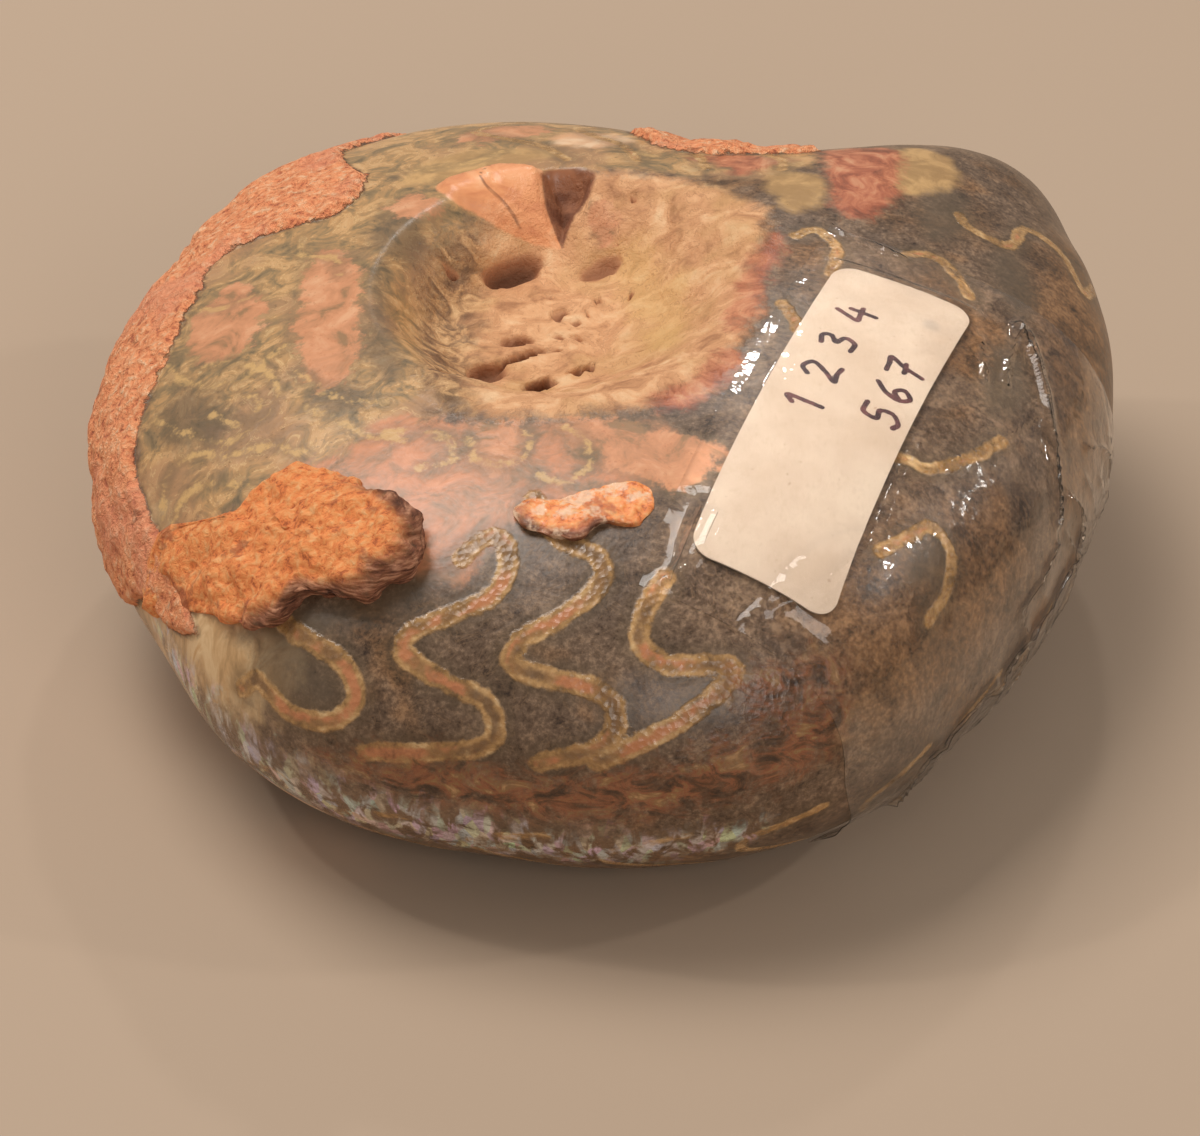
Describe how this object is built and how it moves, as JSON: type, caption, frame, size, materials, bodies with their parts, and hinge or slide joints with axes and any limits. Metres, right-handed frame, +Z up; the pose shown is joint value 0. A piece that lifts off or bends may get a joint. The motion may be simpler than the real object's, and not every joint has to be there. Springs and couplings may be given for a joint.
{
  "type": "polished ammonite fossil",
  "caption": "Whole polished ammonite lying on its flank, with a hollow umbilicus, lumps of red rock, a paper label and a strip of clear tape round the rim.",
  "frame": {"origin": "on the surface that it rests on, under the middle of the bounding box", "axes": "+Z up, out of the upper flank; -Y towards the thicker, front part of the rim; +X towards the taped side"},
  "size_m": [0.0843, 0.0862, 0.0351],
  "materials": {
    "fossil_stone": "polished dark stone with golden suture lines and rough red rock",
    "label_paper": "matt cream paper",
    "clear_film": "clear glossy packing tape"
  },
  "bodies": {
    "root": {"fossil": "fossil_stone", "paper_label": "label_paper", "clear_tape": "clear_film"}
  },
  "joints": []
}
